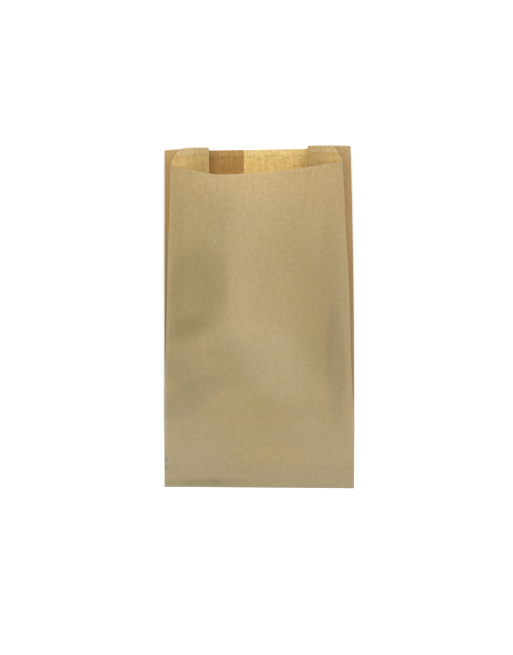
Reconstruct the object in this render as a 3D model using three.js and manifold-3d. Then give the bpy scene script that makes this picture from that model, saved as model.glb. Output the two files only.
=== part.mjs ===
// Kraft paper bakery bag with side gussets, lying on its back panel.
// Millimetres, +Z up, width along X, length along Y, mouth toward +Y.
import * as THREE from 'three';
import { mergeVertices } from 'three/addons/utils/BufferGeometryUtils.js';
import Module from 'manifold-3d';

// Paper and flat size
const PAPER = 0.08;
const WIDTH = 140;
const LENGTH = 250;
const GUSSET_DEPTH = 35;

// Top cut: the front panel stops short of the back, with a rounded cut in each gusset
const FRONT_DROP = 12;
const NOTCH_WIDTH = 10.5;
const NOTCH_CURVE = 1.9;
const TOP_SKEW = 2.4;
const FRONT_SKEW = 2;

// Glued seam along the back panel, measured from the left crease
const SEAM_START = 29;
const SEAM_WIDTH = 29.5;
const SEAM_RAMP = 1.6;

// Hem: the flat tube's end folded onto the back and glued
const HEM_LENGTH = 15;
const HEM_RAMP = 18;
const HEM_SKEW = 1.1;
const HEM_BITE = 1.2;
const HEM_SKIN = 0.02;

// Folds: half the distance between two layers, pressed at the hem and sprung above it
const PRESSED_FOLD = 0.11;
const SPRUNG_FOLD = 0.25;
const SPRING_LENGTH = 40;
const FOLD_ROUND = 0.5;

// How far the bag stands open
const FLAT_LENGTH = 38;
const EASE = 0.12;
const RISE_LEFT = 43;
const RISE_RIGHT = 44;
const LIFT_LEFT = 12;
const LIFT_RIGHT = 14.5;
const LIFT_POWER = 1.1;
const SLOPE_LOW = 0.29;
const SLOPE_MOUTH = 0.73;
const SLOPE_START = 30;
const SLOPE_RAMP = 40;
const CREASE_SHARE = 0.39;
const CREASE_SHARE_LOW = 0.1;

// The flat top of the front panel narrows from the hem to a ridge, at its own pace on each side
const FLAT_SHARE = 0.94;
const RIDGE_LEFT = { share: 0.3, start: 48, end: 116 };
const RIDGE_RIGHT = { share: 0.2, start: 38, end: 190 };
const RAMP_ROUND = 0.2;
const FLANK_EDGE = 0.5;
const MOUTH_EDGE = 1.5;
const MOUTH_START = 150;
const MOUTH_LENGTH = 80;

// The back panel's sides curl up toward the mouth
const CURL_LEFT = 5;
const CURL_RIGHT = 15;
const CURL_FLAT = 25;
const CURL_POWER = 1;

// Dents in the front panel, fading toward the creases: place, reach, depth and slant
const DENT_FADE = 18;
const DENTS = [
  { across: -50, along: 108, wide: 22, long: 6, depth: -1, slant: 0 },
  { across: -48, along: 84, wide: 17, long: 15, depth: 1.8, slant: -0.8 },
  { across: -46, along: 140, wide: 16, long: 24, depth: 1.6, slant: -0.3 },
  { across: 52, along: 90, wide: 11, long: 38, depth: 1.6, slant: 0.15 },
];

const half = WIDTH / 2;
const frontLength = LENGTH - FRONT_DROP;

const clamp01 = (v) => Math.min(1, Math.max(0, v));
const smooth = (v) => clamp01(v) ** 2 * (3 - 2 * clamp01(v));

// A straight ramp from 0 to 1 with both ends rounded
const ramp = (v) => 0.5 + 0.5 * (Math.hypot(v, RAMP_ROUND) - Math.hypot(v - 1, RAMP_ROUND));

// Opening of the bag at distance s from the bottom fold: 0 flat, 1 at the front edge
function opening(s) {
  const raw = (s - FLAT_LENGTH) / (frontLength - FLAT_LENGTH);
  return 0.5 * (raw + Math.hypot(raw, EASE)) - 0.5 * (Math.hypot(1, EASE) - 1) * raw;
}

const eased = (s) => Math.max(0, opening(s) - opening(0));
const riseAt = (s, rise) => rise * eased(s) ** LIFT_POWER;
const foldAt = (s) => PRESSED_FOLD + (SPRUNG_FOLD - PRESSED_FOLD) * smooth(s / SPRING_LENGTH);
const stackHeight = 6 * PRESSED_FOLD + PAPER;
const baseAt = (s) => stackHeight * (1 - smooth((s - HEM_LENGTH) / HEM_RAMP)) + PAPER / 2;

// Back panel: flat in the middle, curling up to each side
function backPoint(across, s) {
  const curl = (across < 0 ? CURL_LEFT : CURL_RIGHT) * eased(s) ** CURL_POWER;
  const reach = half - CURL_FLAT;
  const beyond = Math.max(0, Math.abs(across) - CURL_FLAT);
  const slope = (2 * curl) / reach ** 2;
  const shorter = (slope ** 2 * beyond ** 3) / 6;
  const x = Math.sign(across) * (Math.abs(across) - shorter);
  return new THREE.Vector2(x, baseAt(s) + (curl * beyond ** 2) / reach ** 2);
}

// Inner fold of a gusset: its back half keeps its length as the fold lifts
function innerFold(side, s) {
  const start = backPoint(side * half, s);
  const lift = riseAt(s, side < 0 ? LIFT_LEFT : LIFT_RIGHT);
  const x = start.x - side * Math.sqrt(GUSSET_DEPTH ** 2 - Math.min(lift, GUSSET_DEPTH) ** 2);
  return new THREE.Vector2(x, start.y + 2 * foldAt(s) + lift);
}

// Slope of the front panel's flanks
function slopeAt(s) {
  const share = (s - FLAT_LENGTH) / (frontLength - FLAT_LENGTH);
  return (SLOPE_LOW + (SLOPE_MOUTH - SLOPE_LOW) * share) * smooth((s - SLOPE_START) / SLOPE_RAMP);
}

// Front panel's section in half widths: level at the ridge, sloping down both flanks
const SHAPE_STEPS = 80;
const shapes = new Map();

function flankAt(side, share, s) {
  const ridge = side < 0 ? RIDGE_LEFT : RIDGE_RIGHT;
  const gone = ramp((s - ridge.start) / (ridge.end - ridge.start));
  const flat = FLAT_SHARE + (ridge.share - FLAT_SHARE) * gone;
  const edge = FLANK_EDGE + (MOUTH_EDGE - FLANK_EDGE) * smooth((s - MOUTH_START) / MOUTH_LENGTH);
  return smooth((side * share - flat) / edge + 0.5);
}

function frontShape(s) {
  if (shapes.has(s)) return shapes.get(s);
  const steep = slopeAt(s);
  const step = 2 / SHAPE_STEPS;
  const points = [new THREE.Vector2(0, 0)];
  for (let i = 0; i < SHAPE_STEPS; i += 1) {
    const share = -1 + (i + 0.5) * step;
    const slope = steep * (flankAt(1, share, s) - flankAt(-1, share, s));
    const last = points[i];
    points.push(new THREE.Vector2(last.x + step * Math.cos(slope), last.y - step * Math.sin(slope)));
  }
  const end = points[SHAPE_STEPS];
  const tilt = -end.angle();
  const origin = new THREE.Vector2(0, 0);
  points.forEach((point) => point.rotateAround(origin, tilt));
  shapes.set(s, { points, chord: end.length() });
  return shapes.get(s);
}

// Front crease: the section's chord is shorter than the paper, and the sides share the rest
function creasePoint(side, s) {
  const shrink = WIDTH - half * frontShape(s).chord;
  const low = 1 - smooth((s - FLAT_LENGTH) / (LENGTH / 2 - FLAT_LENGTH));
  const left = CREASE_SHARE + (CREASE_SHARE_LOW - CREASE_SHARE) * low;
  const x = side * (half - shrink * (side < 0 ? left : 1 - left));
  const rise = riseAt(s, side < 0 ? RISE_LEFT : RISE_RIGHT);
  return new THREE.Vector2(x, baseAt(s) + 4 * foldAt(s) + rise);
}

function dentAt(across, s) {
  let depth = 0;
  for (const dent of DENTS) {
    const along = (s - dent.along) / dent.long;
    const side = (across - dent.across - dent.slant * (s - dent.along)) / dent.wide;
    depth += dent.depth * Math.exp(-(along ** 2) - side ** 2);
  }
  return depth * smooth((half - Math.abs(across)) / DENT_FADE);
}

// Front panel: its section laid from crease to crease
function frontPoint(across, s) {
  const left = creasePoint(-1, s);
  const right = creasePoint(1, s);
  const { points, chord } = frontShape(s);
  const at = ((across / half + 1) / 2) * SHAPE_STEPS;
  const low = Math.min(SHAPE_STEPS - 1, Math.floor(at));
  const shape = points[low].clone().lerp(points[low + 1], at - low).divideScalar(chord);
  const run = right.clone().sub(left);
  const x = left.x + run.x * shape.x - run.y * shape.y;
  const z = left.y + run.y * shape.x + run.x * shape.y;
  return new THREE.Vector2(x, z + 2 * foldAt(s) - dentAt(across, s));
}

// Columns round the sheet: where each lies in the section, and where the sheet is cut
const backTop = (across) => LENGTH + (TOP_SKEW * across) / WIDTH;
const frontTop = (across) => frontLength + ((TOP_SKEW + FRONT_SKEW) * across) / WIDTH;
const columns = [];

function addColumn(at, top, plyOut = 0, plyIn = 0) {
  columns.push({ at, top, plyOut, plyIn });
}

// A crease as a short rounded cap between two layers
function addCrease(corner, side, top, bulge) {
  for (const [share, out] of [[0, 0], [0.5, 1], [1, 0]]) {
    addColumn((s) => {
      const fold = foldAt(s);
      const point = corner(s);
      point.x += side * bulge * out * fold * FOLD_ROUND;
      point.y += share * 2 * fold;
      return point;
    }, top);
  }
}

function addBackPanel() {
  const seamLeft = -half + SEAM_START;
  const seamRight = seamLeft + SEAM_WIDTH;
  const step = PAPER / 2;
  const plies = [
    [-half + 1, 0, 0], [-half + 10, 0, 0], [-half + 20, 0, 0], [seamLeft - SEAM_RAMP, 0, 0],
    [seamLeft - step, -1, 1], [seamLeft, 0, 1], [(seamLeft + seamRight) / 2, 0, 1],
    [seamRight, 0, 1], [seamRight + step, 0, 0], [0, 0, 0],
    [half - 45, 0, 0], [half - 32, 0, 0], [half - 20, 0, 0], [half - 10, 0, 0], [half - 1, 0, 0],
  ];
  for (const [across, plyOut, plyIn] of plies) {
    addColumn((s) => backPoint(across, s), backTop(across), plyOut, plyIn);
  }
}

// One gusset half, straight between its fold and its crease
function addGussetHalf(from, to, shares, topAt) {
  for (const share of shares) {
    addColumn((s) => from(s).lerp(to(s), share), topAt(share));
  }
}

function raised(corner, folds) {
  return (s) => {
    const point = corner(s);
    point.y += folds * foldAt(s);
    return point;
  };
}

// The cut across a gusset's front half, from the fold (0) to the front crease (1)
function notchTop(side, share) {
  const into = clamp01((share * GUSSET_DEPTH - (GUSSET_DEPTH - NOTCH_WIDTH)) / NOTCH_WIDTH);
  const high = backTop(side * half);
  return high + (frontTop(side * half) - high) * into ** NOTCH_CURVE;
}

const nearNotch = 1 - NOTCH_WIDTH / GUSSET_DEPTH;
const notchShares = [0.35, nearNotch, 1 - 0.6 * (1 - nearNotch), 1 - 0.25 * (1 - nearNotch)];
const back = (side) => (s) => backPoint(side * half, s);
const inner = (side) => (s) => innerFold(side, s);
const crease = (side) => (s) => creasePoint(side, s);

function addRightGusset() {
  const top = backTop(half);
  addCrease(back(1), 1, top, 1);
  addGussetHalf(raised(back(1), 2), inner(1), [0.33, 0.67], () => top);
  addCrease(inner(1), -1, top, 1);
  addGussetHalf(raised(inner(1), 2), crease(1), notchShares, (share) => notchTop(1, share));
  addCrease(crease(1), 1, frontTop(half), 1);
}

function addFrontPanel() {
  const steps = 20;
  for (let i = 1; i < steps; i += 1) {
    const across = half - (WIDTH * i) / steps;
    addColumn((s) => frontPoint(across, s), frontTop(across));
  }
}

function addLeftGusset() {
  const right = columns.length;
  const top = backTop(-half);
  addCrease(back(-1), -1, top, 1);
  addGussetHalf(raised(back(-1), 2), inner(-1), [0.33, 0.67], () => top);
  addCrease(inner(-1), 1, top, 1);
  addGussetHalf(raised(inner(-1), 2), crease(-1), notchShares, (share) => notchTop(-1, share));
  addCrease(crease(-1), -1, frontTop(-half), 1);
  columns.push(...columns.splice(right).reverse());
}

addBackPanel();
addRightGusset();
addFrontPanel();
addLeftGusset();

// Wall faces of the section at s: outer and inner point of every column
const SHARPEST_MITER = 0.6;
function wallAt(s) {
  const middle = columns.map((column) => column.at(s));
  const count = middle.length;
  return middle.map((point, i) => {
    const before = point.clone().sub(middle[(i + count - 1) % count]).normalize();
    const after = middle[(i + 1) % count].clone().sub(point).normalize();
    const normal = new THREE.Vector2(before.y + after.y, -before.x - after.x).normalize();
    const miter = Math.max(SHARPEST_MITER, normal.dot(new THREE.Vector2(after.y, -after.x)));
    const { plyOut, plyIn } = columns[i];
    const outward = PAPER / 2 / miter + plyOut * PAPER;
    const inward = PAPER / 2 / miter + plyIn * PAPER;
    return {
      middle: point,
      outer: point.clone().addScaledVector(normal, outward),
      inner: point.clone().addScaledVector(normal, -inward),
    };
  });
}

// Rows along the sheet, from the bottom fold to the cut edge
const ROW_STEP = 6.1;
function rowShares() {
  const low = [0, 0.5 * HEM_LENGTH, HEM_LENGTH + 1, HEM_LENGTH + 6, HEM_LENGTH + 12];
  const start = HEM_LENGTH + HEM_RAMP;
  const count = Math.round((LENGTH - start) / ROW_STEP);
  const high = Array.from({ length: count + 1 }, (_, i) => start + ((LENGTH - start) * i) / count);
  return [...low, ...high].map((s) => s / LENGTH);
}

// How far along Y a column has come: the paper keeps its length as it rises
const MARCH = 2.5;
const STEEPEST = 0.9;
function marchTable() {
  const steps = Math.ceil((LENGTH + TOP_SKEW) / MARCH) + 1;
  const table = [];
  let last = columns.map((column) => column.at(0));
  let y = columns.map(() => 0);
  for (let k = 0; k <= steps; k += 1) {
    const now = columns.map((column) => column.at(k * MARCH));
    y = y.map((value, i) => {
      const side = k ? now[i].distanceTo(last[i]) : 0;
      return value + (k ? Math.sqrt(MARCH ** 2 - Math.min(side, STEEPEST * MARCH) ** 2) : 0);
    });
    table.push(y);
    last = now;
  }
  return table;
}

const march = marchTable();
function lengthwise(column, s) {
  const at = Math.min(march.length - 2, Math.floor(Math.max(0, s) / MARCH));
  const share = s / MARCH - at;
  return march[at][column] * (1 - share) + march[at + 1][column] * share;
}

// The tube starts inside the hem's round fold
const TUBE_START = 0.3;
const hemLine = (x) => (-HEM_SKEW * x) / WIDTH;

function tubeGeometry() {
  const rows = rowShares();
  const count = columns.length;
  const positions = [];
  const index = [];
  const id = (row, column, skin) => (row * count + (column % count)) * 2 + skin;
  for (const share of rows) {
    for (let i = 0; i < count; i += 1) {
      const s = share * columns[i].top;
      const { middle, outer, inner: inside } = wallAt(s)[i];
      const y = hemLine(middle.x) * (1 - share) + lengthwise(i, s) + TUBE_START;
      positions.push(outer.x, y, outer.y, inside.x, y, inside.y);
    }
  }
  const quad = (a, b, c, d) => index.push(a, c, b, a, d, c);
  for (let row = 0; row + 1 < rows.length; row += 1) {
    for (let i = 0; i < count; i += 1) {
      quad(id(row, i, 0), id(row, i + 1, 0), id(row + 1, i + 1, 0), id(row + 1, i, 0));
      quad(id(row, i, 1), id(row + 1, i, 1), id(row + 1, i + 1, 1), id(row, i + 1, 1));
    }
  }
  const top = rows.length - 1;
  for (let i = 0; i < count; i += 1) {
    quad(id(top, i, 0), id(top, i + 1, 0), id(top, i + 1, 1), id(top, i, 1));
    quad(id(0, i, 1), id(0, i + 1, 1), id(0, i + 1, 0), id(0, i, 0));
  }
  const geometry = new THREE.BufferGeometry();
  geometry.setAttribute('position', new THREE.Float32BufferAttribute(positions, 3));
  geometry.setIndex(index);
  return geometry;
}

// Hem: a rounded fold in side view, run across the bag's width
function hemGeometry() {
  const height = 2 * stackHeight + HEM_SKIN;
  const radius = height / 2;
  const glue = stackHeight + PAPER / 2;
  const profile = new THREE.Shape();
  profile.moveTo(HEM_LENGTH, 0);
  profile.lineTo(HEM_LENGTH, glue);
  profile.lineTo(HEM_BITE, glue);
  profile.lineTo(HEM_BITE, height);
  profile.lineTo(radius, height);
  profile.absarc(radius, radius, radius, Math.PI / 2, (3 * Math.PI) / 2, false);
  profile.lineTo(HEM_LENGTH, 0);
  const reach = half + PRESSED_FOLD * FOLD_ROUND + PAPER / 2 + HEM_SKIN;
  const geometry = new THREE.ExtrudeGeometry(profile, {
    depth: 2 * reach,
    bevelEnabled: false,
    curveSegments: 6,
  });
  const axes = new THREE.Matrix4().makeBasis(
    new THREE.Vector3(0, 1, 0),
    new THREE.Vector3(0, 0, 1),
    new THREE.Vector3(1, -HEM_SKEW / WIDTH, 0),
  );
  geometry.applyMatrix4(axes.setPosition(-reach, (HEM_SKEW * reach) / WIDTH, 0));
  return geometry;
}

const wasm = await Module();
wasm.setup();

function toSolid(geometry) {
  geometry.deleteAttribute('normal');
  geometry.deleteAttribute('uv');
  const merged = mergeVertices(geometry, 1e-4);
  const vertProperties = new Float32Array(merged.attributes.position.array);
  const triVerts = new Uint32Array(merged.index.array);
  return new wasm.Manifold(new wasm.Mesh({ numProp: 3, vertProperties, triVerts }));
}

function toGeometry(solid) {
  const mesh = solid.getMesh();
  const geometry = new THREE.BufferGeometry();
  geometry.setAttribute('position', new THREE.BufferAttribute(mesh.vertProperties, 3));
  geometry.setIndex(new THREE.BufferAttribute(mesh.triVerts, 1));
  return geometry;
}

const kraft = new THREE.MeshStandardMaterial({
  color: 0xb29d74,
  roughness: 0.85,
  metalness: 0,
});

const sheet = toSolid(tubeGeometry()).add(toSolid(hemGeometry()));
const geometry = toGeometry(sheet);
geometry.computeBoundingBox();
const { min, max } = geometry.boundingBox;
geometry.translate(-(min.x + max.x) / 2, -(min.y + max.y) / 2, -min.z);
geometry.computeVertexNormals();

const bag = new THREE.Mesh(geometry, kraft);
bag.name = 'paper_bag';

const object = new THREE.Group();
object.name = 'kraft_bakery_bag';
object.add(bag);

export default object;
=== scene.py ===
import math

import bpy
import numpy as np
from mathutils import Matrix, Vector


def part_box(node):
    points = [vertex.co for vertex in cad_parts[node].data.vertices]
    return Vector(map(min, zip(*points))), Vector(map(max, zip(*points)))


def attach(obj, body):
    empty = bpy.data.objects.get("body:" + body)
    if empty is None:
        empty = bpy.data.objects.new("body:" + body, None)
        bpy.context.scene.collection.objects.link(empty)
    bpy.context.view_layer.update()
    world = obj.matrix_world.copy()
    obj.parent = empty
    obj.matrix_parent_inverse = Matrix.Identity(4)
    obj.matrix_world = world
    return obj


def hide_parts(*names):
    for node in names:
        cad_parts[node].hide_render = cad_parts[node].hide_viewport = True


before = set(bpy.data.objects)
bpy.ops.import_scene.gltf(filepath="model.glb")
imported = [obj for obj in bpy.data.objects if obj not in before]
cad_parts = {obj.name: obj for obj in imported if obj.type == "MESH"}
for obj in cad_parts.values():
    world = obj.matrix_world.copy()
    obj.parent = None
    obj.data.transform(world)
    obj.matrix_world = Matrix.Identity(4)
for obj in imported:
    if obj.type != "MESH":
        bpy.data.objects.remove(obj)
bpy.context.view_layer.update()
mouth_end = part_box("paper_bag")[1].y

# Paper and flat size, in millimetres, as in the part's source
PAPER = 0.08
WIDTH = 140.0
LENGTH = 250.0
GUSSET_DEPTH = 35.0
FRONT_DROP = 12.0
NOTCH_WIDTH = 10.5
NOTCH_CURVE = 1.9
TOP_SKEW = 2.4
FRONT_SKEW = 2.0
SEAM_START = 29.0
SEAM_WIDTH = 29.5
SEAM_RAMP = 1.6
HEM_LENGTH = 15.0
HEM_RAMP = 18.0
HEM_SKEW = 1.1
PRESSED_FOLD = 0.11
SPRUNG_FOLD = 0.25
SPRING_LENGTH = 40.0
FOLD_ROUND = 0.5
CAP_STEPS = 4
FLAT_LENGTH = 38.0
EASE = 0.12
RISE = {-1: 43.0, 1: 44.0}
LIFT = {-1: 12.0, 1: 14.5}
LIFT_POWER = 1.1
SLOPE_LOW = 0.29
SLOPE_MOUTH = 0.73
SLOPE_START = 30.0
SLOPE_RAMP = 40.0
SLOPE_SAG = dict(share=0.14, at=155.0, reach=48.0)
CREASE_SHARE = 0.39
CREASE_SHARE_LOW = 0.1
# The flat top of the front panel narrows from the hem to a ridge, at its own pace on each side
FLAT_SHARE = 0.94
RIDGE_HALF = {-1: 0.3, 1: 0.2}
RIDGE_START = {-1: 48.0, 1: 38.0}
RIDGE_END = {-1: 116.0, 1: 190.0}
RAMP_ROUND = 0.2
FLANK_EDGE = 0.5
MOUTH_EDGE = 1.5
MOUTH_START = 150.0
MOUTH_LENGTH = 80.0
CURL = {-1: 5.0, 1: 15.0}
CURL_FLAT = 25.0
CURL_POWER = 1.0
DENTS = [
    dict(across=-50, along=108, wide=22, long=6, depth=-1.0, slant=0.0),
    dict(across=-48, along=84, wide=17, long=15, depth=1.8, slant=-0.8),
    dict(across=-46, along=140, wide=16, long=24, depth=1.6, slant=-0.3),
    dict(across=52, along=90, wide=11, long=38, depth=1.6, slant=0.15),
]

HALF = WIDTH / 2
FRONT_LENGTH = LENGTH - FRONT_DROP
STACK = 6 * PRESSED_FOLD + PAPER


def smooth(v):
    v = np.clip(v, 0, 1)
    return v * v * (3 - 2 * v)


def opening(s):
    raw = (s - FLAT_LENGTH) / (FRONT_LENGTH - FLAT_LENGTH)
    return 0.5 * (raw + np.hypot(raw, EASE)) - 0.5 * (math.hypot(1, EASE) - 1) * raw


def eased(s):
    return np.maximum(0, opening(s) - opening(0.0))


def slope_at(s):
    share = (s - FLAT_LENGTH) / (FRONT_LENGTH - FLAT_LENGTH)
    sag = SLOPE_SAG["share"] * np.exp(-(((s - SLOPE_SAG["at"]) / SLOPE_SAG["reach"]) ** 2))
    slope = (SLOPE_LOW + (SLOPE_MOUTH - SLOPE_LOW) * share) * (1 - sag)
    return slope * smooth((s - SLOPE_START) / SLOPE_RAMP)


# The front panel's section is worked out at these shares of its half width, once for each set of rows
SHARES = np.linspace(-1, 1, 161)
shape_cache = {}


def flat_half(side, s):
    v = (s - RIDGE_START[side]) / (RIDGE_END[side] - RIDGE_START[side])
    gone = 0.5 + 0.5 * (np.hypot(v, RAMP_ROUND) - np.hypot(v - 1, RAMP_ROUND))
    return FLAT_SHARE + (RIDGE_HALF[side] - FLAT_SHARE) * gone


def front_shape(s):
    """The front panel's section from crease to crease in half widths, with its chord laid level."""
    s = np.atleast_1d(np.asarray(s, float))
    key = (len(s), float(s[0]), float(s[-1]))
    if key in shape_cache:
        return shape_cache[key]
    share = SHARES[None, :]
    edge = (FLANK_EDGE + (MOUTH_EDGE - FLANK_EDGE) * smooth((s - MOUTH_START) / MOUTH_LENGTH))[:, None]
    left = smooth((-share - flat_half(-1, s)[:, None]) / edge + 0.5)
    right = smooth((share - flat_half(1, s)[:, None]) / edge + 0.5)
    slope = slope_at(s)[:, None] * (right - left)
    step = SHARES[1] - SHARES[0]
    dx, dz = np.cos(slope), -np.sin(slope)
    x = np.concatenate([np.zeros((len(s), 1)), np.cumsum((dx[:, 1:] + dx[:, :-1]) / 2 * step, 1)], 1)
    z = np.concatenate([np.zeros((len(s), 1)), np.cumsum((dz[:, 1:] + dz[:, :-1]) / 2 * step, 1)], 1)
    chord = np.hypot(x[:, -1], z[:, -1])
    cos, sin = x[:, -1] / chord, z[:, -1] / chord
    level = (x * cos[:, None] + z * sin[:, None], z * cos[:, None] - x * sin[:, None], chord)
    shape_cache[key] = level
    return level


def fold_at(s):
    return PRESSED_FOLD + (SPRUNG_FOLD - PRESSED_FOLD) * smooth(s / SPRING_LENGTH)


def base_at(s):
    return STACK * (1 - smooth((s - HEM_LENGTH) / HEM_RAMP)) + PAPER / 2


def back_point(across, s):
    side = -1 if across < 0 else 1
    curl = CURL[side] * eased(s) ** CURL_POWER
    reach = HALF - CURL_FLAT
    beyond = max(0.0, abs(across) - CURL_FLAT)
    slope = 2 * curl / reach**2
    x = side * (abs(across) - slope**2 * beyond**3 / 6)
    return x, base_at(s) + curl * beyond**2 / reach**2


def inner_fold(side, s):
    x, z = back_point(side * HALF, s)
    lift = LIFT[side] * eased(s) ** LIFT_POWER
    return x - side * np.sqrt(GUSSET_DEPTH**2 - lift**2), z + 2 * fold_at(s) + lift


def crease_point(side, s):
    shrink = WIDTH - HALF * front_shape(s)[2]
    low = 1 - smooth((s - FLAT_LENGTH) / (LENGTH / 2 - FLAT_LENGTH))
    left = CREASE_SHARE + (CREASE_SHARE_LOW - CREASE_SHARE) * low
    x = side * (HALF - shrink * (left if side < 0 else 1 - left))
    return x, base_at(s) + 4 * fold_at(s) + RISE[side] * eased(s) ** LIFT_POWER


DENT_FADE = 18.0


def dent_at(across, s):
    depth = 0
    for d in DENTS:
        along = (s - d["along"]) / d["long"]
        side = (across - d["across"] - d["slant"] * (s - d["along"])) / d["wide"]
        depth = depth + d["depth"] * np.exp(-(along**2) - side**2)
    return depth * smooth((HALF - abs(across)) / DENT_FADE)


def front_point(across, s):
    left_x, left_z = crease_point(-1, s)
    right_x, right_z = crease_point(1, s)
    dx, dz = right_x - left_x, right_z - left_z
    shape_x, shape_z, chord = front_shape(s)
    at = (across / HALF + 1) / 2 * (len(SHARES) - 1)
    low = min(int(at), len(SHARES) - 2)
    part = at - low
    along = (shape_x[:, low] * (1 - part) + shape_x[:, low + 1] * part) / chord
    up = (shape_z[:, low] * (1 - part) + shape_z[:, low + 1] * part) / chord
    x = left_x + dx * along - dz * up
    z = left_z + 2 * fold_at(s) + dz * along + dx * up
    return x, z - dent_at(across, s)


def back_top(across):
    return LENGTH + TOP_SKEW * across / WIDTH


# The front cut dips left of the middle and turns up at its corners
CUT_DIP = dict(across=-28.0, wide=15.0, depth=1.7)
CORNER_RISE = {-1: 3.4, 1: 1.6}
CORNER_REACH = 3.0


def front_top(across):
    side = -1 if across < 0 else 1
    corner = CORNER_RISE[side] * (1 - smooth((HALF - abs(across)) / CORNER_REACH))
    dip = CUT_DIP["depth"] * math.exp(-(((across - CUT_DIP["across"]) / CUT_DIP["wide"]) ** 2))
    return FRONT_LENGTH + (TOP_SKEW + FRONT_SKEW) * across / WIDTH + float(corner) - dip


# How far each gusset's cut rises toward its inner fold
FOLD_RISE = {-1: 0.9, 1: -0.4}


def notch_top(side, share):
    into = np.clip((share * GUSSET_DEPTH - (GUSSET_DEPTH - NOTCH_WIDTH)) / NOTCH_WIDTH, 0, 1)
    high = back_top(side * HALF)
    rise = FOLD_RISE[side] * (1 - share)
    return high + rise + (front_top(side * HALF) - high) * into**NOTCH_CURVE


def linear(r, g, b):
    value = np.array([r, g, b]) / 255
    return np.where(value > 0.04045, ((value + 0.055) / 1.055) ** 2.4, value / 12.92)


# Colours of the paper's outer and inner side, as they show in soft white light, some of them with painted
# light
OUTSIDE = linear(179, 158, 116)
# The gussets' outer sides are painted paler, to make up for the shade under the front creases, and the
# left one paler than the right: lit and shaded copies of one colour
STRIP = {-1: linear(201, 164, 102), 1: linear(192, 157, 103)}
BACK_OUT = linear(180, 158, 116)
FOLD_EDGE = linear(164, 152, 126)
# The gussets' linings are lit and shaded copies of one colour, the left one painted paler, and the back
# panel's single layer is painted golden for light that comes through the paper
GUSSET_IN = {-1: linear(219, 187, 123), 1: linear(202, 170, 109)}
FRONT_IN = linear(210, 177, 114)
BACK_IN = linear(235, 199, 119)
SEAM_IN = linear(178, 132, 58)

# The gussets' linings get painted shade at the inner fold and are paler at the notch, and the back panel
# gets a painted shadow where the left gusset's fold lies on it
FOLD_TONE = {-1: 0.91, 1: 0.95}
NOTCH_TONE = 1.06
TONE_TURN = dict(share=0.3, length=0.3)
FOLD_SHADE = 0.22
FOLD_SHADE_REACH = 3.0


def patch(across, along, wide, long, tone, slant=0.0, lean=0.0, power=1.6):
    """A soft patch: its place and reach in mm, and how far it moves red, green and blue.

    It slants across and leans along the sheet, and a higher power makes its edge sharper.
    """
    return dict(across=across, along=along, wide=wide, long=long, tone=tone, slant=slant, lean=lean,
                power=power)


# Patches of tone in the front panel's paper, most of them painted shade and painted light: darker flanks
# and a darker low part, a lighter ridge, a painted glow near the mouth for light that comes through it,
# and thin painted highlights along the front creases. Some of the darkening also stands for layers that
# show through
TONE_AND_PAINTED_LIGHT = [
    # Painted shade on the flanks and the low part, and painted light on the ridge
    patch(-47, 148, 25, 37, (-0.15, -0.15, -0.22), lean=0.4, power=3),
    patch(-61, 170, 6, 48, (-0.06, -0.06, -0.08), power=2),
    patch(-25, 172, 4, 34, (-0.05, -0.05, -0.07), power=2),
    patch(-54, 120, 17, 9, (-0.13, -0.13, -0.14), lean=0.45, power=2),
    patch(-26, 110, 12, 9, (-0.07, -0.07, -0.07), lean=0.3),
    patch(-58, 86, 17, 14, (-0.15, -0.12, -0.14), lean=-0.7, power=2),
    patch(-53, 67, 28, 13, (-0.11, -0.09, -0.09), lean=0.5, power=2.6),
    patch(-14, 98, 18, 18, (-0.05, -0.05, -0.07)),
    patch(37, 100, 13, 22, (-0.06, -0.04, -0.07)),
    patch(-11, 165, 11, 50, (0.05, 0.04, 0.07), power=2),
    patch(38, 140, 20, 52, (-0.06, -0.09, -0.13), slant=-0.3),
    patch(55, 165, 9, 36, (-0.06, -0.07, -0.08), power=2),
    patch(57, 94, 8, 44, (-0.15, -0.13, -0.12), power=3),
    patch(10, 100, 27, 32, (0.1, 0.12, 0.2), slant=-0.5, power=2.2),
    patch(0, 64, 56, 12, (0.03, 0.05, 0.08)),
    patch(0, 52, 30, 24, (0.01, 0.0, -0.03)),
    patch(36, 10, 34, 30, (-0.01, 0.0, 0.04)),
    patch(1, 64, 11, 9, (-0.04, -0.05, -0.11)),
    patch(16, 23, 34, 11, (0.06, 0.01, -0.1)),
    patch(36, 46, 10, 8, (0.04, 0.05, 0.09)),
    patch(-52, 14, 22, 15, (0.01, 0.02, 0.1)),
    patch(-60, 48, 13, 16, (-0.02, 0.01, 0.08)),
    patch(0, 10, 95, 32, (-0.12, -0.09, -0.07)),
    patch(-54, 1, 26, 5, (-0.08, -0.07, -0.11)),
    # A painted glow near the mouth, and painted light on the upper flanks
    patch(0, 238, 85, 22, (0.18, 0.14, 0.07)),
    patch(-28, 236, 22, 12, (0.05, 0.06, 0.08)),
    patch(58, 215, 30, 34, (0.12, 0.08, 0.03)),
    patch(-60, 212, 24, 34, (0.12, 0.09, -0.03)),
    # Thin painted highlights along the front creases
    patch(71, 85, 5, 75, (0.06, 0.07, 0.1)),
    patch(-71, 150, 3.5, 110, (0.12, 0.13, 0.08)),
    patch(-70.5, 55, 2.8, 60, (0.03, 0.1, 0.4)),
    patch(71, 190, 2.6, 60, (0.08, 0.07, 0.1)),
]
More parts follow.
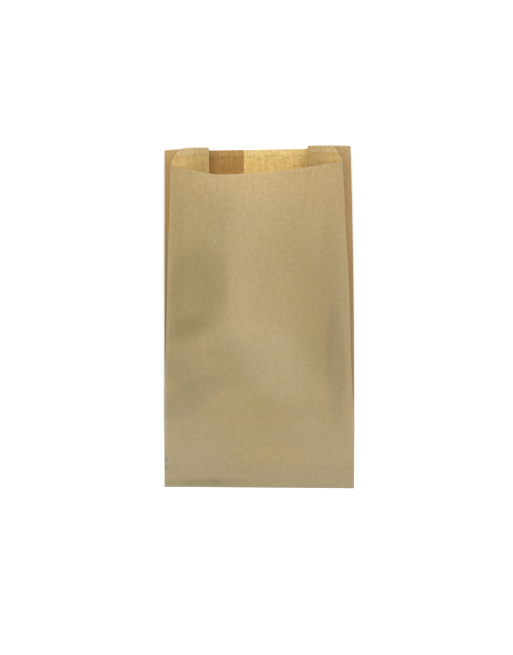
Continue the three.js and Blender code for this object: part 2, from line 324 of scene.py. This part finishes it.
# Small marks on the left edge near the hem, and the glued band that shows through above the fold
MARKS = [
    patch(-69, 20.5, 1.6, 2.6, (-0.26, -0.22, -0.2)),
    patch(-68.5, 14, 1.5, 1.7, (-0.22, -0.2, -0.2)),
    patch(-33, 4, 5, 2.5, (-0.05, -0.06, -0.02)),
    patch(-38, 3, 28, 2.2, (-0.13, -0.11, -0.19)),
    patch(-33, 5, 22, 1.1, (-0.07, -0.1, -0.05)),
    patch(0, 1, 90, 1, (-0.07, -0.04, 0.05)),
]


def front_tone_and_painted_light(across, s):
    """Tone of the front panel's paper at a place, with its painted shade and light: red, green and blue
    factors.
    """
    tone = np.ones(np.shape(s) + (3,))
    for p in TONE_AND_PAINTED_LIGHT + MARKS:
        along = (s - p["along"] - p["lean"] * (across - p["across"])) / p["long"]
        side = (across - p["across"] - p["slant"] * (s - p["along"])) / p["wide"]
        reach = np.exp(-((along**2 + side**2) ** p["power"]))
        tone = tone + reach[..., None] * np.array(p["tone"])
    return tone


# The gussets' outer sides get painted shade further down, are greyer along the back crease, and are paler
# at the mouth
STRIP_SHADE = dict(start=130.0, length=100.0, depth={-1: 0.3, 1: 0.18})
STRIP_EDGE = dict(share=0.05, tone=np.array([0.88, 0.95, 1.15]))
STRIP_TOP = dict(reach=10.0, tone=np.array([0.05, 0.12, 0.26]))


def strip_tone(side, share, s, top):
    """Tone of a gusset's outer side with its painted shade, by share of its depth from the back crease.
    """
    deep = 1 - smooth((s - STRIP_SHADE["start"]) / STRIP_SHADE["length"])
    edge = 1 - smooth(share / STRIP_EDGE["share"])
    tone = 1 + edge * (STRIP_EDGE["tone"] - 1)
    pale = 1 + np.exp(-(top - s) / STRIP_TOP["reach"])[:, None] * STRIP_TOP["tone"]
    return (1 - STRIP_SHADE["depth"][side] * deep)[:, None] * tone * pale


# The inner side is paler some way below the mouth than at its edge, which stands for light that comes
# through the paper. Depths are in mm
GLOW_EDGE = 0.86
GLOW_RISE = 0.27
GLOW_DEPTH = 18.0
GLOW_END = (30.0, 45.0)


def inner_glow(depth):
    """Tone of the inner side by depth below the mouth: it rises, then fades back to 1 further in."""
    rise = GLOW_EDGE + GLOW_RISE * np.clip(depth / GLOW_DEPTH, 0, 1)
    fade = smooth((depth - GLOW_END[0]) / GLOW_END[1])
    return rise + (1 - rise) * fade


# How strongly the inner side's speckle and the mouth's pale band show, where the back panel has 1
GUSSET_GRIT = 0.65
SEAM_GRIT = 1.15
GUSSET_BAND = 1.25
SEAM_BAND = 2.2

# Columns round the sheet, each a line of the paper from the bottom fold to its own top. They keep a
# small distance from creases and from the seam's edges
BACK_COLUMNS = {-1: 14, 1: 36}
SEAM_COLUMNS = 9
FRONT_COLUMNS = 96
CREASE_INSET = 1.0
SEAM_INSET = 2.0
EDGE_SHARES = (0.015, 0.03, 0.05, 0.08)
STRIP_SHARES = (0.14, 0.96)
LINING_SHARE = 0.04
NOTCH_SHARES = (0.1, 0.97)
GUSSET_COLUMNS = 8
NOTCH_COLUMNS = 9
columns = []


def column(at, top, flat, outside, inside, ply_out=0.0, ply_in=0.0, across=0.0, strip=None,
           grit=GUSSET_GRIT, band=GUSSET_BAND, mouth=None):
    columns.append(dict(at=at, top=top, flat=flat, outside=outside, inside=inside,
                        ply_out=ply_out, ply_in=ply_in, across=across, strip=strip, grit=grit,
                        band=band, mouth=top if mouth is None else mouth))


def add_crease(corner, side, top, flat, outside, inside, across=0.0, strip=None):
    """The round of a fold, over the height of its two layers."""
    mouth = back_top(math.copysign(HALF, flat))
    for k in range(CAP_STEPS + 1):
        share = k / CAP_STEPS

        def at(s, share=share):
            x, z = corner(s)
            fold = fold_at(s)
            return x + side * fold * FOLD_ROUND * math.sin(math.pi * share), z + 2 * fold * share

        column(at, top, flat, outside, inside, across=across, strip=strip, mouth=mouth)


def add_back():
    """From the left to the right back crease, with a second layer along the seam."""
    left = -HALF + SEAM_START
    right = left + SEAM_WIDTH
    step = PAPER / 2
    first, last = -HALF + CREASE_INSET, HALF - CREASE_INSET
    spots = {(a, 0.0, 0.0) for a in np.linspace(first, left - SEAM_RAMP, BACK_COLUMNS[-1])}
    spots |= {(left - step, -1.0, 1.0), (left, 0.0, 1.0)}
    spots |= {(a, 0.0, 1.0) for a in np.linspace(left + SEAM_INSET, right - SEAM_INSET, SEAM_COLUMNS)}
    spots |= {(right, 0.0, 1.0), (right + step, 0.0, 0.0)}
    spots |= {(a, 0.0, 0.0) for a in np.linspace(right + CREASE_INSET, last, BACK_COLUMNS[1])}
    for across, ply_out, ply_in in sorted(spots):
        inside = SEAM_IN if ply_in else BACK_IN
        from_fold = abs(across + HALF - GUSSET_DEPTH)
        # Painted shadow of the left gusset's inner fold on the back panel
        inside = inside * (1 - FOLD_SHADE * math.exp(-from_fold / FOLD_SHADE_REACH))
        column(lambda s, a=across: back_point(a, s), back_top(across), across, BACK_OUT, inside,
               ply_out, ply_in, grit=SEAM_GRIT if ply_in else 1.0,
               band=SEAM_BAND if ply_in else 1.0)


def add_gusset(side):
    """From the back crease to the front crease."""
    top = back_top(side * HALF)
    flat = side * HALF

    def back(s):
        return back_point(side * HALF, s)

    def inner(s):
        return inner_fold(side, s)

    def crease(s):
        return crease_point(side, s)

    def between(first, second, share):
        def at(s):
            x0, z0 = first(s)
            x1, z1 = second(s)
            z0 = z0 + 2 * fold_at(s)
            return x0 + (x1 - x0) * share, z0 + (z1 - z0) * share

        return at

    strip, lining = STRIP[side], GUSSET_IN[side]
    add_crease(back, side, top, flat, strip, lining, strip=0.0)
    for share in [*EDGE_SHARES, *np.linspace(*STRIP_SHARES, GUSSET_COLUMNS)]:
        column(between(back, inner, share), top + FOLD_RISE[side] * share,
               flat + side * GUSSET_DEPTH * share, strip, lining, strip=share)
    # The lining round the inner fold gets painted shade
    add_crease(inner, -side, top + FOLD_RISE[side], flat + side * GUSSET_DEPTH, strip,
               lining * FOLD_TONE[side])
    near = 1 - NOTCH_WIDTH / GUSSET_DEPTH
    notch = near + (1 - near) * np.linspace(*NOTCH_SHARES, NOTCH_COLUMNS)
    for share in [*np.linspace(LINING_SHARE, near, GUSSET_COLUMNS), *notch]:
        # Painted shade near the inner fold, fading toward the paler notch
        turn = smooth((share - TONE_TURN["share"]) / TONE_TURN["length"])
        inside = lining * (FOLD_TONE[side] + (NOTCH_TONE - FOLD_TONE[side]) * turn)
        column(between(inner, crease, share), notch_top(side, share),
               flat + side * GUSSET_DEPTH * (1 + share), strip, inside,
               mouth=top + FOLD_RISE[side] * (1 - share))
    add_crease(crease, side, front_top(side * HALF), flat + side * 2 * GUSSET_DEPTH, OUTSIDE, lining,
               across=side * HALF)


def add_front():
    """From the right to the left front crease."""
    for across in np.linspace(HALF - CREASE_INSET, -HALF + CREASE_INSET, FRONT_COLUMNS):
        flat = WIDTH * 1.5 + 2 * GUSSET_DEPTH - across
        column(lambda s, a=across: front_point(a, s), front_top(across), flat, OUTSIDE, FRONT_IN,
               across=across)


add_back()
add_gusset(1)
add_front()
before_left = len(columns)
add_gusset(-1)
columns[before_left:] = columns[before_left:][::-1]

# Rows are closer at the hem. Along each column, places are found by marching up the sheet, where no
# step goes further across than the share below
HEM_ROWS = [0, 0.8, 1.6, 2.6, 3.6, 4.6, 6, 8, 10, 12, 13.4, 14.5, 16, 18, 20, 22, 24, 27, 30, 33]
ROWS_START = 36.0
ROW_COUNT = 165
MARCH = 1.0
MARCH_ACROSS = 0.9
HEM_SHIFT = 0.3


def grid():
    """Middle surface and the flat lengths, rows by columns, and each column's top."""
    rows = np.array([*HEM_ROWS, *np.linspace(ROWS_START, LENGTH, ROW_COUNT)]) / LENGTH
    fine = np.arange(0, LENGTH + TOP_SKEW + 2 * MARCH, MARCH)
    tops = np.array([c["top"] for c in columns])
    s = rows[:, None] * tops[None, :]
    x, y, z = np.zeros_like(s), np.zeros_like(s), np.zeros_like(s)
    for i, c in enumerate(columns):
        fx, fz = c["at"](fine)
        fx = np.broadcast_to(fx, fine.shape)
        fz = np.broadcast_to(fz, fine.shape)
        side = np.minimum(np.hypot(np.diff(fx), np.diff(fz)), MARCH_ACROSS * MARCH)
        along = np.concatenate([[0], np.cumsum(np.sqrt(MARCH**2 - side**2))])
        x[:, i] = np.interp(s[:, i], fine, fx)
        z[:, i] = np.interp(s[:, i], fine, fz)
        y[:, i] = np.interp(s[:, i], fine, along)
    y = y - HEM_SKEW * x / WIDTH * (1 - rows[:, None]) + HEM_SHIFT
    return x, y, z, s, tops


SHARPEST_MITER = 0.6


def skins(x, z):
    """Section normals, and how far the outer and inner skin lie from the middle surface."""
    before = np.stack([x - np.roll(x, 1, 1), z - np.roll(z, 1, 1)], -1)
    after = np.stack([np.roll(x, -1, 1) - x, np.roll(z, -1, 1) - z], -1)
    before /= np.linalg.norm(before, axis=-1, keepdims=True)
    after /= np.linalg.norm(after, axis=-1, keepdims=True)
    total = before + after
    normal = np.stack([total[..., 1], -total[..., 0]], -1)
    normal /= np.linalg.norm(normal, axis=-1, keepdims=True)
    miter = np.maximum(SHARPEST_MITER, normal[..., 0] * after[..., 1] - normal[..., 1] * after[..., 0])
    ply_out = np.array([c["ply_out"] for c in columns])
    ply_in = np.array([c["ply_in"] for c in columns])
    return normal, PAPER / 2 / miter + ply_out * PAPER, PAPER / 2 / miter + ply_in * PAPER


def skin_faces(ids):
    """Quads of the outer skin, the inner skin, and the cut edges at the top and the bottom."""
    skin = ids.size
    right = np.roll(ids, -1, 1)
    a, b, c, d = ids[:-1], right[:-1], right[1:], ids[1:]
    outer = np.stack([a, d, c, b], -1).reshape(-1, 4)
    inner = np.stack([a, b, c, d], -1).reshape(-1, 4) + skin
    faces = [outer, inner]
    for row, flip in ((-1, False), (0, True)):
        rim = np.stack([ids[row], ids[row] + skin, right[row] + skin, right[row]], -1)
        faces.append(rim[:, ::-1] if flip else rim)
    return np.concatenate(faces)


def quad_mesh(name, points, faces):
    mesh = bpy.data.meshes.new(name)
    mesh.vertices.add(len(points))
    mesh.vertices.foreach_set("co", points.astype(np.float32).ravel())
    mesh.loops.add(faces.size)
    mesh.loops.foreach_set("vertex_index", faces.astype(np.int32).ravel())
    mesh.polygons.add(len(faces))
    mesh.polygons.foreach_set("loop_start", np.arange(0, faces.size, 4, dtype=np.int32))
    mesh.update(calc_edges=True)
    return mesh


def add_value(mesh, name, values):
    data = mesh.attributes.new(name, "FLOAT", "POINT")
    data.data.foreach_set("value", np.asarray(values, np.float32).ravel())


def add_tint(mesh, colours):
    rgba = np.concatenate([colours, np.ones((len(colours), 1))], -1)
    data = mesh.attributes.new("tint", "FLOAT_COLOR", "POINT")
    data.data.foreach_set("color", rgba.astype(np.float32).ravel())


def add_object(name, mesh, sharp_degrees):
    mesh.polygons.foreach_set("use_smooth", np.ones(len(mesh.polygons), bool))
    mesh.set_sharp_from_angle(angle=math.radians(sharp_degrees))
    mesh.validate()
    obj = bpy.data.objects.new(name, mesh)
    bpy.context.scene.collection.objects.link(obj)
    return obj


def per_column(key, s):
    return np.broadcast_to(np.array([c[key] for c in columns]), s.shape)


def paper_colours(s, tops, mouths):
    """Colours of the outer and inner skin, rows by columns."""
    outside = np.array([c["outside"] for c in columns]) * np.ones((len(s), 1, 1))
    inside = np.array([c["inside"] for c in columns]) * inner_glow(mouths - s)[..., None]
    for i, c in enumerate(columns):
        if c["outside"] is OUTSIDE:
            outside[:, i] *= front_tone_and_painted_light(c["across"], s[:, i])
        elif c["strip"] is not None:
            side = -1 if c["outside"] is STRIP[-1] else 1
            outside[:, i] *= strip_tone(side, c["strip"], s[:, i], tops[i])
    return outside, inside


# The inner side takes its texture from another place of the paper than the outer side
INNER_PLACE = 0.7
BAG_SHARP = 35.0


def make_bag():
    x, y, z, s, tops = grid()
    normal, outward, inward = skins(x, z)
    outer = np.stack([x + normal[..., 0] * outward, y, z + normal[..., 1] * outward], -1)
    inner = np.stack([x - normal[..., 0] * inward, y, z - normal[..., 1] * inward], -1)
    points = np.concatenate([outer.reshape(-1, 3), inner.reshape(-1, 3)]) / 1000
    faces = skin_faces(np.arange(s.size).reshape(s.shape))
    mesh = quad_mesh("bag", points, faces)

    uv = np.stack([per_column("flat", s), s], -1).reshape(-1, 2) / 1000
    uv = np.concatenate([uv, uv + np.array([INNER_PLACE, 0.0])])
    layer = mesh.uv_layers.new(name="paper")
    layer.data.foreach_set("uv", uv[faces.ravel()].astype(np.float32).ravel())

    mouths = per_column("mouth", s)
    outside, inside = paper_colours(s, tops, mouths)
    add_tint(mesh, np.concatenate([outside.reshape(-1, 3), inside.reshape(-1, 3)]))
    for name, value in (("from_top", tops - s), ("from_mouth", mouths - s)):
        add_value(mesh, name, np.stack([value, value]))
    for name, key in (("inner", "grit"), ("band", "band")):
        add_value(mesh, name, np.stack([np.zeros(s.shape), per_column(key, s)]))

    obj = add_object("bag", mesh, BAG_SHARP)
    obj.location.y = mouth_end - points[:, 1].max()
    return obj


# The hem wraps the whole stack, with a narrow lip on top, and stands a little proud of the layers
HEM_LIP = 1.2
HEM_PROUD = 0.02
HEM_ROUND_POINTS = 13
HEM_COLUMNS = 41
HEM_PLACE = 0.28
HEM_SHARP = 40.0
FAR_FROM_MOUTH = 200.0


def hem_outline(height):
    """Side view of the hem, from its inner end over the lip and round the fold."""
    radius = height / 2
    layers = STACK + PAPER / 2
    outline = [(HEM_LENGTH, 0.0), (HEM_LENGTH, layers), (HEM_LIP, layers), (HEM_LIP, height)]
    outline += [
        (radius + radius * math.cos(a), radius + radius * math.sin(a))
        for a in np.linspace(math.pi / 2, 1.5 * math.pi, HEM_ROUND_POINTS)
    ]
    return outline


def make_hem(shift):
    height = 2 * STACK + HEM_PROUD
    outline = hem_outline(height)
    reach = HALF + PRESSED_FOLD * FOLD_ROUND + PAPER / 2 + HEM_PROUD
    across = np.linspace(-reach, reach, HEM_COLUMNS)
    points = [(a / 1000, (y - HEM_SKEW * a / WIDTH) / 1000, z / 1000) for a in across for y, z in outline]
    n = len(outline)
    faces = []
    for i in range(len(across) - 1):
        for k in range(n):
            a, b = i * n + k, i * n + (k + 1) % n
            faces.append((a, b, b + n, a + n))
    faces.append(tuple(range(n))[::-1])
    faces.append(tuple((len(across) - 1) * n + k for k in range(n)))
    mesh = bpy.data.meshes.new("hem")
    mesh.from_pydata(points, [], faces)
    mesh.update()

    layer = mesh.uv_layers.new(name="paper")
    for loop in mesh.loops:
        v = mesh.vertices[loop.vertex_index].co
        layer.data[loop.index].uv = (HEM_PLACE + v.x, v.y - v.z)
    tint = [FOLD_EDGE if y <= height / 2 else BACK_OUT for _ in across for y, _ in outline]
    add_tint(mesh, np.array(tint))
    for name, value in (("from_top", FAR_FROM_MOUTH), ("from_mouth", FAR_FROM_MOUTH), ("inner", 0.0),
                        ("band", 0.0)):
        add_value(mesh, name, np.full(len(points), value))
    obj = add_object("hem", mesh, HEM_SHARP)
    obj.location.y = shift
    return obj


# Noises of the kraft paper, by their scale across and along the sheet, per metre
NOISES = dict(
    cloud=dict(across=22, along=16, detail=3, rough=0.55, offset=0.0),
    mottle=dict(across=330, along=300, detail=3, rough=0.65, offset=3.0),
    fibre=dict(across=1500, along=330, detail=4, rough=0.75, offset=7.0),
    grain=dict(across=900, along=860, detail=2, rough=0.8, offset=31.0),
    streak=dict(across=640, along=42, detail=3, rough=0.6, offset=41.0),
    fine=dict(across=760, along=700, detail=3, rough=0.8, offset=11.0),
    golden=dict(across=240, along=200, detail=4, rough=0.7, offset=23.0),
    rib_bend=dict(across=14, along=9, detail=2, rough=0.5, offset=5.0),
    rib_depth=dict(across=60, along=22, detail=2, rough=0.5, offset=13.0),
    specks=dict(across=900, along=700, detail=2, rough=0.5, offset=17.0),
    blotch=dict(across=95, along=80, detail=2, rough=0.5, offset=0.0),
)
# How strongly they show on both sides, and as speckle on the inner side
TONE_PARTS = dict(cloud=0.08, mottle=0.26, fibre=0.22, grain=0.2, streak=0.11)
SPECKLE_PARTS = dict(fine=1.25, golden=0.75, streak=0.35)
# Grain is stronger at the mouth and settles over this length, in mm
GRAIN_AT_MOUTH = 0.6
GRAIN_REACH = 60.0
# Ribs of the paper machine, in metres
RIB_PITCH = 0.0021
RIB_WANDER = 9.0
RIB_TONE = 0.016
SPECK_LIMIT = 0.79
SPECK_TONE = 0.22
# A painted highlight along the top cut edges, where the edge catches the light, and the pale band inside
# the mouth, in mm
CUT_HIGHLIGHT_WIDTH = 0.8
CUT_HIGHLIGHT_TONE = 0.1
TOP_BAND = 4.2
BAND_TONE = (0.09, 0.16, 0.38)
# Dark places in the paper are redder, and light ones paler
TONE_SPREAD = (1.0, 1.1, 1.5)
INNER_SPREAD = (0.5, 1.05, 1.75)
HUE_SHIFT = (0.05, 0.03, 0.12)
BUMP = dict(fibre=0.5, ribs=0.12, mottle=0.7, strength=0.35, height=0.00005)
ROUGHNESS = 0.55
SHEEN = 0.25
ONES = (1.0, 1.0, 1.0)


def kraft_material():
    material = bpy.data.materials.new("kraft paper")
    material.use_nodes = True
    nodes, links = material.node_tree.nodes, material.node_tree.links
    shader = nodes["Principled BSDF"]
    shader.inputs["Roughness"].default_value = ROUGHNESS
    shader.inputs["Specular IOR Level"].default_value = SHEEN

    def feed(made, values):
        for socket, value in zip(made.inputs, values):
            if isinstance(value, (int, float, tuple)):
                socket.default_value = value
            else:
                links.new(value, socket)
        return made.outputs[0]

    def math_node(operation, *values):
        made = nodes.new("ShaderNodeMath")
        made.operation = operation
        return feed(made, values)

    def vector_node(operation, *values):
        made = nodes.new("ShaderNodeVectorMath")
        made.operation = operation
        return feed(made, values)

    def attribute(name):
        made = nodes.new("ShaderNodeAttribute")
        made.attribute_name = name
        return made

    uv = nodes.new("ShaderNodeUVMap")
    uv.uv_map = "paper"

    def noise(across, along, detail, rough, offset):
        mapping = nodes.new("ShaderNodeMapping")
        mapping.inputs["Scale"].default_value = (across, along, 1)
        mapping.inputs["Location"].default_value = (offset, offset * 0.7, 0)
        links.new(uv.outputs["UV"], mapping.inputs["Vector"])
        made = nodes.new("ShaderNodeTexNoise")
        made.inputs["Scale"].default_value = 1.0
        made.inputs["Detail"].default_value = detail
        made.inputs["Roughness"].default_value = rough
        links.new(mapping.outputs["Vector"], made.inputs["Vector"])
        return made

    noises = {name: noise(**spec) for name, spec in NOISES.items()}

    def fac(name):
        return noises[name].outputs["Fac"]

    def mixed(parts):
        total = None
        for name, amount in parts.items():
            part = math_node("MULTIPLY", math_node("SUBTRACT", fac(name), 0.5), amount)
            total = part if total is None else math_node("ADD", total, part)
        return total

    from_top = attribute("from_top").outputs["Fac"]
    from_mouth = attribute("from_mouth").outputs["Fac"]
    inner = attribute("inner").outputs["Fac"]
    band_here = attribute("band").outputs["Fac"]

    split = nodes.new("ShaderNodeSeparateXYZ")
    links.new(uv.outputs["UV"], split.inputs[0])
    turns = math_node("MULTIPLY", split.outputs["X"], 2 * math.pi / RIB_PITCH)
    rib_phase = math_node("ADD", turns, math_node("MULTIPLY", fac("rib_bend"), RIB_WANDER))
    ribs = math_node("MULTIPLY", math_node("SINE", rib_phase), fac("rib_depth"))

    near_top = math_node("EXPONENT", math_node("MULTIPLY", from_top, -1 / GRAIN_REACH))
    grain = math_node("ADD", math_node("MULTIPLY", near_top, GRAIN_AT_MOUTH), 1.0)
    value = math_node("MULTIPLY", mixed(TONE_PARTS), grain)
    value = math_node("ADD", value, math_node("MULTIPLY", ribs, RIB_TONE))
    speck = math_node("GREATER_THAN", fac("specks"), SPECK_LIMIT)
    value = math_node("SUBTRACT", value, math_node("MULTIPLY", speck, SPECK_TONE))
    # Painted highlight along the top cut edges
    cut = math_node("LESS_THAN", from_top, CUT_HIGHLIGHT_WIDTH)
    value = math_node("ADD", value, math_node("MULTIPLY", cut, CUT_HIGHLIGHT_TONE))
    speckle = math_node("MULTIPLY", mixed(SPECKLE_PARTS), inner)
    band = math_node("MULTIPLY", math_node("LESS_THAN", from_mouth, TOP_BAND), band_here)

    colour = vector_node("MULTIPLY_ADD", value, TONE_SPREAD, ONES)
    colour = vector_node("MULTIPLY_ADD", speckle, INNER_SPREAD, colour)
    colour = vector_node("MULTIPLY", colour, vector_node("MULTIPLY_ADD", band, BAND_TONE, ONES))
    middle = tuple(1 - v / 2 for v in HUE_SHIFT)
    hue = vector_node("MULTIPLY_ADD", noises["blotch"].outputs["Color"], HUE_SHIFT, middle)
    colour = vector_node("MULTIPLY", colour, hue)
    colour = vector_node("MULTIPLY", colour, attribute("tint").outputs["Color"])
    links.new(colour, shader.inputs["Base Color"])

    height = math_node("ADD", math_node("MULTIPLY", fac("fibre"), BUMP["fibre"]),
                       math_node("MULTIPLY", ribs, BUMP["ribs"]))
    height = math_node("ADD", height, math_node("MULTIPLY", fac("mottle"), BUMP["mottle"]))
    bump = nodes.new("ShaderNodeBump")
    bump.inputs["Strength"].default_value = BUMP["strength"]
    bump.inputs["Distance"].default_value = BUMP["height"]
    links.new(height, bump.inputs["Height"])
    links.new(bump.outputs["Normal"], shader.inputs["Normal"])
    return material


bag = make_bag()
hem = make_hem(bag.location.y)
kraft = kraft_material()
for piece in (bag, hem):
    piece.data.materials.append(kraft)
    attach(piece, "root")
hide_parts("paper_bag")

# Floor, light and camera, in metres. The floor's colour, as it is seen, rises where the lamp's light
# falls off, so it stays white, and its evenly lit middle has the radius EVEN_FLOOR
LAMP_PLACE = (0.02, 0.07)
LAMP_HEIGHT = 0.9
LAMP_SIZE = 0.6
LAMP_POWER = 7.2
FLOOR_HALF = 3.0
FLOOR_DROP = 0.0001
EVEN_FLOOR = 0.3
FLOOR_LIT = (0.8, 0.8, 0.8, 1)
FLOOR_SEEN = 1.35
FLOOR_ROUGHNESS = 0.9
FLOOR_SHEEN = 0.1
SKY_LIGHT = 0.2
SKY_SEEN = 1.0


def seen_directly(tree):
    """1 for what the camera sees, also in a reflection or through glass."""
    path = tree.nodes.new("ShaderNodeLightPath")
    seen = path.outputs["Is Camera Ray"]
    for ray in ("Is Glossy Ray", "Is Transmission Ray"):
        either = tree.nodes.new("ShaderNodeMath")
        either.operation = "MAXIMUM"
        tree.links.new(seen, either.inputs[0])
        tree.links.new(path.outputs[ray], either.inputs[1])
        seen = either.outputs[0]
    return seen


def floor_material():
    material = bpy.data.materials.new("white floor")
    material.use_nodes = True
    tree = material.node_tree
    shader = tree.nodes["Principled BSDF"]
    shader.inputs["Roughness"].default_value = FLOOR_ROUGHNESS
    shader.inputs["Specular IOR Level"].default_value = FLOOR_SHEEN
    place = tree.nodes.new("ShaderNodeNewGeometry")
    square = tree.nodes.new("ShaderNodeVectorMath")
    square.operation = "DOT_PRODUCT"
    tree.links.new(place.outputs["Position"], square.inputs[0])
    tree.links.new(place.outputs["Position"], square.inputs[1])
    falloff = square.outputs["Value"]
    for operation, amount in (("ADD", LAMP_HEIGHT**2), ("DIVIDE", LAMP_HEIGHT**2 + EVEN_FLOOR**2),
                              ("POWER", 2.0), ("MAXIMUM", 1.0)):
        step = tree.nodes.new("ShaderNodeMath")
        step.operation = operation
        tree.links.new(falloff, step.inputs[0])
        step.inputs[1].default_value = amount
        falloff = step.outputs[0]
    seen = tree.nodes.new("ShaderNodeVectorMath")
    seen.operation = "MULTIPLY"
    seen.inputs[0].default_value = (FLOOR_SEEN, FLOOR_SEEN, FLOOR_SEEN)
    tree.links.new(falloff, seen.inputs[1])
    either = tree.nodes.new("ShaderNodeMix")
    either.data_type = "RGBA"
    either.inputs["A"].default_value = FLOOR_LIT
    tree.links.new(seen.outputs[0], either.inputs["B"])
    tree.links.new(seen_directly(tree), either.inputs["Factor"])
    tree.links.new(either.outputs["Result"], shader.inputs["Base Color"])
    return material


def make_floor():
    mesh = bpy.data.meshes.new("floor")
    r = FLOOR_HALF
    mesh.from_pydata([(-r, -r, 0), (r, -r, 0), (r, r, 0), (-r, r, 0)], [], [(0, 1, 2, 3)])
    mesh.materials.append(floor_material())
    obj = bpy.data.objects.new("floor", mesh)
    obj.location.z = -FLOOR_DROP
    bpy.context.scene.collection.objects.link(obj)
    return obj


def make_sky():
    world = bpy.data.worlds.new("studio")
    world.use_nodes = True
    tree = world.node_tree
    sky = tree.nodes["Background"]
    sky.inputs["Color"].default_value = (1, 1, 1, 1)
    strength = tree.nodes.new("ShaderNodeMix")
    strength.inputs["A"].default_value = SKY_LIGHT
    strength.inputs["B"].default_value = SKY_SEEN
    tree.links.new(seen_directly(tree), strength.inputs["Factor"])
    tree.links.new(strength.outputs["Result"], sky.inputs["Strength"])
    return world


def make_lamp():
    light = bpy.data.lights.new("key", "AREA")
    light.shape = "RECTANGLE"
    light.size = LAMP_SIZE
    light.size_y = LAMP_SIZE
    light.energy = LAMP_POWER
    obj = bpy.data.objects.new("key", light)
    obj.location = (*LAMP_PLACE, LAMP_HEIGHT)
    obj.visible_camera = False
    bpy.context.scene.collection.objects.link(obj)
    return obj


make_floor()
bpy.context.scene.world = make_sky()
make_lamp()

# The camera looks straight down. A pixel of the photo spans PIXEL metres at the height of the floor
PIXEL = 0.000741
PHOTO_PIXELS = 655
DISTANCE = 1.0
SENSOR = 36.0
CAMERA_X = -2.8 * PIXEL
CAMERA_Y = -0.0068


def make_camera():
    data = bpy.data.cameras.new("camera")
    data.sensor_width = SENSOR
    data.lens = SENSOR * DISTANCE / (PHOTO_PIXELS * PIXEL)
    data.clip_start = 0.01
    obj = bpy.data.objects.new("camera", data)
    obj.location = (CAMERA_X, CAMERA_Y, DISTANCE)
    bpy.context.scene.collection.objects.link(obj)
    return obj


bpy.context.scene.camera = make_camera()
bpy.context.scene.view_settings.view_transform = "Standard"
